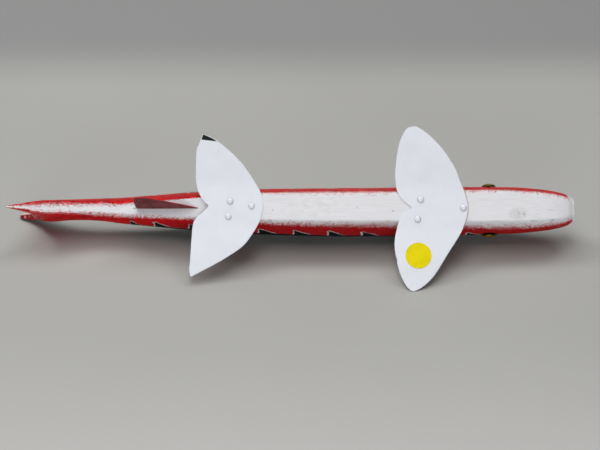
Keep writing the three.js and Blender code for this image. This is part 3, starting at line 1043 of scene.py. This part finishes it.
def back_masks(p, fish):
    """(black, outline) over the fish's back: saw teeth with a thin pale line round them."""
    wobble = p.noise(p.stretch(fish, (1, 0.2, 1)), 12, 3)
    x, y, z = p.split(fish)
    x = p.scaled(wobble, 3.0, p.minus(x, 1.5))
    z = p.scaled(p.noise(fish, 4, 3), 2.4, p.minus(z, 1.2))
    thick = p.ramp(p.noise(fish, 6, 2), 0.3, 0.7, 0.4, 1.3)
    level, on_slope = saw_line(p, x, y)
    black = p.ramp(p.minus(z, level), -0.1, 0.1)
    slope = p.ramp(p.minus(p.add(z, thick), level), -0.1, 0.1)
    slope = p.both(slope, on_slope)
    ahead, _ = saw_line(p, p.scaled(thick, 1.6, x), y)
    steep = p.ramp(p.minus(z, ahead), -0.1, 0.1)
    begun = p.ramp(x, TEETH_FROM - 0.2, TEETH_FROM)
    inside = p.both(begun, p.ramp(x, TEETH_TO, TEETH_TO + 2, 1, 0))
    top = p.ramp(p.attribute("ridge"), 0.93, 0.96)
    black = p.either(p.both(black, inside), top)
    line = p.both(p.either(slope, steep), inside)
    return black, p.both(line, p.minus(1.0, black))


def red_mask(p, fish, x, y):
    """Where the red is: solid on the flanks, thinning to specks towards the belly."""
    grain = p.noise(p.stretch(fish, (0.8, 1, 1)), 0.62, 1, 0.5)
    patches = p.noise(fish, 7, 2)
    speck = p.ramp(grain, 0.34, 0.66, -0.05, 0.8, smooth=False)
    speck = p.add(speck, p.ramp(patches, 0.3, 0.7, -0.08, 0.08))
    red = p.ramp(p.scaled(p.attribute("share"), 1.1, speck), 0.67, 0.81)
    nose = p.ramp(p.scaled(y, -0.22, x), 202, 210, 1, 0)
    edge = p.scaled(p.noise(fish, 1.6, 3), 0.6, nose)
    return p.both(red, p.ramp(edge, 0.4, 0.65))


MARKS = [  # (x, y), (length, width), how strong: small stains and scuffs on the belly, and three thin lines of painted shade in the crease along its left edge
    ((49.5, 0.1), (0.8, 0.5), 0.8),
    ((75.6, 3), (0.7, 0.6), 0.8),
    ((-12.5, 2.3), (0.9, 0.6), 0.6),
    ((167, 5), (9, 6), 0.22),
    ((168, 5), (1.6, 2.6), 0.3),
    ((171.5, 5.8), (1.1, 2.4), 0.3),
    # painted shade in the crease along the belly's left edge, this line and the next
    ((178, 10), (3.6, 0.7), 0.5),
    ((192, 9.2), (3, 1.1), 0.35),
    ((191, 1.9), (3.4, 0.6), 0.3),
    # painted shade in the crease along the belly's left edge
    ((152, 10.5), (6, 0.5), 0.25),
]


def paint_body():
    p = Paint("body_paint", roughness=0.5, specular=0.06)
    fish = p.attribute("fish", "Vector")
    x, y, z = p.split(fish)
    strokes = p.noise(p.stretch(fish, (0.035, 1, 1)), 0.8, 4, 0.7)
    soft = p.noise(p.stretch(fish, (0.3, 1, 1)), 14, 3)
    white = p.mix(p.ramp(strokes, 0.4, 0.75, 0, 0.35), WHITE, GREY_WHITE)
    white = p.mix(p.ramp(soft, 0.5, 0.8, 0, 0.05), white, PINK)
    # Grey spots: stains and scuffs, and painted shade in the crease along the belly's left edge
    for at, size, strong in MARKS:
        uneven = p.ramp(p.noise(fish, 1.5, 3), 0.35, 0.6, 0.3, 1)
        mark = p.both(p.spot(x, y, at, size), uneven)
        low = p.math("LESS_THAN", z, 6.0)
        white = p.mix(p.both(p.both(mark, strong), low), white, linear(120, 112, 112))
    red = red_mask(p, fish, x, y)
    # Darker red in random patches, and painted shade on the left flank (y over 6 mm), which faces
    # away from the lamps
    deep = p.either(p.ramp(p.noise(fish, 5, 4), 0.35, 0.7, 0, 0.6), p.ramp(y, 6, 13, 0, 0.6))
    red_colour = p.mix(deep, RED, DARK_RED)
    # Specks of thin red showing the white through, a little more of them on the right flank (y
    # under -6 mm) as a painted highlight on its lit side
    thin = p.both(p.ramp(p.noise(fish, 0.9, 2, 0.7), 0.52, 0.66), p.ramp(y, -6, -2, 0.15, 0.1))
    red_colour = p.mix(thin, red_colour, PINK)
    colour = p.mix(red, white, red_colour)
    black, line = back_masks(p, fish)
    colour = p.mix(line, colour, p.mix(p.noise(fish, 2, 3), SILVER, GREY_WHITE))
    colour = p.mix(black, colour, BLACK)
    ahead, above = p.minus(x, EYE_X), p.minus(z, EYE_Z)
    ring = p.math("SQRT", p.add(p.both(ahead, ahead), p.both(above, above)))
    colour = p.mix(p.ramp(ring, 5.8, 6.2, 1, 0), colour, BLACK)
    streak = p.both(p.ramp(x, -188, -182, 1, 0), p.ramp(y, -1.7, -0.8, 1, 0))
    worn = p.ramp(p.noise(p.stretch(fish, (0.4, 1, 1)), 1.6, 3), 0.5, 0.66, 0, 0.7)
    inner = p.mix(p.either(worn, streak), linear(150, 22, 28), linear(232, 206, 206))
    colour = p.mix(p.attribute("inside"), colour, inner)
    rough = p.blend(red, 0.62, 0.4)
    rough = p.blend(black, rough, 0.45)
    rough = p.scaled(p.noise(fish, 3, 3), 0.2, p.minus(rough, 0.1))
    fine = p.noise(fish, 0.7, 3, 0.6)
    relief = p.add(p.both(strokes, 0.6), p.both(fine, 0.5))
    relief = p.add(relief, p.both(red, 0.5))
    relief = p.add(relief, p.both(p.either(black, line), 0.3))
    return p.done(colour, rough, relief, 0.12, 0.8)


def paint_filler():
    p = Paint("filler_putty", roughness=0.75)
    fish = p.attribute("fish", "Vector")
    blotch = p.noise(p.stretch(fish, (0.5, 1, 1)), 4, 4, 0.65)
    strokes = p.noise(p.stretch(fish, (0.05, 1, 1)), 0.8, 4, 0.7)
    colour = p.mix(p.ramp(blotch, 0.42, 0.68, 0, 0.45), WHITE, linear(222, 216, 217))
    colour = p.mix(p.ramp(strokes, 0.45, 0.75, 0, 0.4), colour, GREY_WHITE)
    return p.done(colour, p.ramp(blotch, 0.3, 0.7, 0.6, 0.85), p.add(strokes, blotch), 0.07, 0.8)


def paint_fin(name, red_edge_and_shade, black_tip):
    """White enamel brushed on thin sheet, over a little grey where it is worn."""
    p = Paint(name, roughness=0.42, specular=0.3)
    fish = p.attribute("fish", "Vector")
    x, y, _ = p.split(fish)
    depth = p.attribute("depth")
    strokes = p.noise(p.stretch(fish, (1, 0.12, 0.12)), 1.6, 4, 0.6)
    cloud = p.noise(fish, 18, 3)
    colour = p.mix(p.ramp(cloud, 0.4, 0.75, 0, 0.25), FIN_WHITE, linear(224, 226, 232))
    colour = p.mix(p.ramp(strokes, 0.55, 0.8, 0, 0.12), colour, linear(206, 206, 210))
    scuff = p.noise(fish, 1.1, 4, 0.7)
    worn = p.both(p.ramp(depth, 0.0, 0.5, 1, 0), p.ramp(scuff, 0.5, 0.6))
    colour = p.mix(p.both(worn, 0.6), colour, linear(132, 134, 138))
    if red_edge_and_shade:
        # The front fin's leading edge near the body is painted dark red: partly the flank's red
        # stippled onto it, partly painted shade along the gap between sheet and belly
        near = p.both(p.ramp(p.math("ABSOLUTE", y), 13, 17, 1, 0), p.math("GREATER_THAN", x, 110.0))
        near = p.both(near, p.ramp(depth, 0.1, 0.45, 1, 0))
        colour = p.mix(near, colour, DARK_RED)
    if black_tip:
        tip = p.ramp(p.scaled(x, -0.12, y), -41.6, -41.1, 1, 0)
        tip = p.both(tip, p.ramp(depth, 0.5, 0.8))
        colour = p.mix(tip, colour, BLACK)
    rough = p.ramp(cloud, 0.3, 0.7, 0.36, 0.5)
    return p.done(colour, rough, p.scaled(scuff, 0.4, strokes), 0.03, 0.7)


def paint_nail():
    p = Paint("nail_enamel", roughness=0.28)
    fish = p.attribute("fish", "Vector")
    away = p.attribute("away")
    grime = p.noise(fish, 1.2, 3)
    # Painted shade: a grey ring at the head's rim and foot, where its contact shadow falls on the
    # sheet, made patchy by the grime noise
    ring = p.both(p.ramp(away, 0.85, 1.02), p.ramp(away, 1.1, 1.3, 1, 0))
    rim_shade_and_grime = p.both(ring, p.ramp(grime, 0.3, 0.7, 0.35, 0.8))
    colour = p.mix(rim_shade_and_grime, FIN_WHITE, linear(146, 144, 150))
    return p.done(colour, p.ramp(grime, 0.3, 0.7, 0.2, 0.34), grime, 0.05, 0.6)


def paint_red_fin():
    p = Paint("red_sheet_enamel", roughness=0.5)
    fish = p.attribute("fish", "Vector")
    depth = p.attribute("depth")
    cloud = p.noise(fish, 6, 4, 0.6)
    speck = p.noise(fish, 0.8, 3, 0.7)
    # Painted shade: the red sheet is given the dark maroon of a red face turned away from the lamps
    colour = p.mix(p.ramp(cloud, 0.3, 0.7), linear(126, 28, 36), linear(98, 16, 24))
    colour = p.mix(p.ramp(speck, 0.6, 0.72, 0, 0.35), colour, linear(190, 150, 152))
    # Painted highlight: a brighter red along the sheet's rounded edges, where they catch the light
    colour = p.mix(p.ramp(depth, 0.3, 0.8, 1, 0), colour, linear(176, 26, 32))
    return p.done(colour, p.ramp(cloud, 0.3, 0.7, 0.42, 0.6), p.add(cloud, speck), 0.05, 0.6)


def paint_brass():
    p = Paint("eye_brass", metallic=1.0, roughness=0.3)
    fish = p.attribute("fish", "Vector")
    away = p.attribute("away")
    tarnish = p.noise(fish, 1.6, 4, 0.6)
    colour = p.mix(p.ramp(tarnish, 0.35, 0.7), linear(214, 186, 70), linear(120, 100, 40))
    colour = p.mix(p.ramp(away, 0.9, 1.0), colour, linear(38, 32, 18))
    return p.done(colour, p.ramp(tarnish, 0.3, 0.7, 0.22, 0.42), tarnish, 0.04, 0.5)


def paint_steel():
    p = Paint("tie_steel", metallic=1.0, roughness=0.4)
    fish = p.attribute("fish", "Vector")
    grain = p.noise(fish, 0.9, 4, 0.7)
    colour = p.mix(p.ramp(grain, 0.5, 0.72), linear(160, 160, 158), linear(110, 84, 62))
    return p.done(colour, p.ramp(grain, 0.4, 0.7, 0.3, 0.6), grain, 0.04, 0.6)


def paint_sticker():
    p = Paint("sticker_paper", roughness=0.7, specular=0.15)
    fish = p.attribute("fish", "Vector")
    fibre = p.noise(p.stretch(fish, (1, 0.4, 0.4)), 0.6, 5, 0.7)
    cloud = p.noise(fish, 6, 2)
    colour = p.mix(p.ramp(cloud, 0.35, 0.7), linear(246, 228, 4), linear(238, 220, 0))
    colour = p.mix(p.ramp(fibre, 0.55, 0.75, 0, 0.2), colour, linear(244, 236, 120))
    return p.done(colour, p.ramp(fibre, 0.3, 0.7, 0.6, 0.8), fibre, 0.02, 0.6)


def paint_lead():
    p = Paint("ballast_lead", metallic=0.8, roughness=0.6)
    where = p.position()
    skin = p.noise(where, 0.004, 5, 0.6)
    colour = p.mix(p.ramp(skin, 0.35, 0.7), linear(112, 116, 122), linear(78, 80, 84))
    return p.done(colour, p.ramp(skin, 0.3, 0.7, 0.45, 0.75), skin, 0.3, 0.6)


# ---- floor and lighting ----

FLOOR_FRONT, FLOOR_BACK, FLOOR_HALF = -2.5, 0.75, 2.6
SWEEP_RADIUS = 0.9
BACKDROP_TOP = 2.5
FLOOR_STEPS, FLOOR_COLUMNS = 24, 13


def paint_floor():
    p = Paint("floor_grey")
    where = p.position()
    fine = p.noise(where, 0.0012, 4, 0.7)
    wide = p.noise(where, 0.35, 2)
    colour = p.mix(p.ramp(wide, 0.3, 0.7), linear(182, 182, 179), linear(178, 178, 175))
    _, y, _ = p.split(where)
    # Painted light and shade: the floor is painted darker from 0.22 m behind the fish on, where the
    # far floor and backdrop get less light, and lighter towards the camera, as a pool of light
    colour = p.mix(p.ramp(y, 0.22, 0.31), colour, linear(151, 152, 152))
    colour = p.mix(p.ramp(y, -0.28, -0.06, 1, 0), colour, linear(204, 203, 202))
    return p.done(colour, 0.75, fine, 0.05, 0.4)


def add_floor():
    """A grey tabletop that sweeps up behind into a backdrop."""
    line = [(y, 0.0) for y in np.linspace(FLOOR_FRONT, FLOOR_BACK, FLOOR_STEPS)]
    for angle in np.radians(np.linspace(0, 90, FLOOR_STEPS)[1:]):
        y = FLOOR_BACK + SWEEP_RADIUS * math.sin(angle)
        line.append((y, SWEEP_RADIUS * (1 - math.cos(angle))))
    line.append((FLOOR_BACK + SWEEP_RADIUS, BACKDROP_TOP))
    across = np.linspace(-FLOOR_HALF, FLOOR_HALF, FLOOR_COLUMNS)
    points = [(x, y, z) for y, z in line for x in across]
    faces = []
    for i in range(len(line) - 1):
        for j in range(len(across) - 1):
            a = i * len(across) + j
            faces.append((a, a + 1, a + 1 + len(across), a + len(across)))
    data = bpy.data.meshes.new("floor")
    data.from_pydata(points, [], faces)
    data.polygons.foreach_set("use_smooth", np.ones(len(faces), bool))
    data.materials.append(paint_floor())
    floor = bpy.data.objects.new("floor", data)
    link(floor)


LIGHTS = [  # name, place, what it points at, size, power in watts, colour
    ("overhead", (-0.12, 0, 1.5), (0, 0, 0), (1.7, 0.8), 12.8, (1.0, 0.995, 0.985)),
    ("left_box", (-0.76, 0.43, 1.22), (0, 0, 0), (0.5, 0.5), 5.2, (1.0, 0.99, 0.97)),
    ("right_box", (0.6, 0.46, 1.3), (0, 0, 0), (0.5, 0.5), 3.8, (1.0, 0.99, 0.97)),
    ("front_box", (0, -2.5, 0.5), (0, 0, 0.03), (2.4, 0.6), 24, (0.97, 0.985, 1.0)),
]
WORLD_COLOUR, WORLD_STRENGTH = (0.96, 0.98, 1.0, 1), 0.04


def add_light(name, stand, aim, size, power, tint):
    data = bpy.data.lights.new(name, "AREA")
    data.shape = "RECTANGLE"
    data.size, data.size_y = size
    data.energy = power
    data.color = tint
    light = bpy.data.objects.new(name, data)
    light.location = stand
    light.rotation_euler = (Vector(aim) - Vector(stand)).to_track_quat("-Z", "Y").to_euler()
    link(light)


def add_lighting():
    world = bpy.data.worlds.new("studio")
    world.use_nodes = True
    background = world.node_tree.nodes["Background"]
    background.inputs["Color"].default_value = WORLD_COLOUR
    background.inputs["Strength"].default_value = WORLD_STRENGTH
    bpy.context.scene.world = world
    for light in LIGHTS:
        add_light(*light)


# ---- all together ----

add_camera()
body(paint_body())
filler(paint_filler())
fin_paints = {
    "front_fin": paint_fin("front_fin_enamel", True, False),
    "rear_fin": paint_fin("rear_fin_enamel", False, True),
}
nail_paint = paint_nail()
for fin in (FRONT_FIN, REAR_FIN):
    nailed_fin(fin, fin_paints[fin["name"]])
    for number in range(len(fin["nails"])):
        nail(fin, number, nail_paint)
red_fin_paint = paint_red_fin()
anal_fin(red_fin_paint)
dorsal_fin(red_fin_paint)
brass = paint_brass()
eye("left_eye", 1, brass)
eye("right_eye", -1, brass)
line_tie(paint_steel())
sticker(paint_sticker())
ballast = frame["nodes"]["ballast"]
ballast.data.materials.clear()
ballast.data.materials.append(paint_lead())
add_floor()
add_lighting()
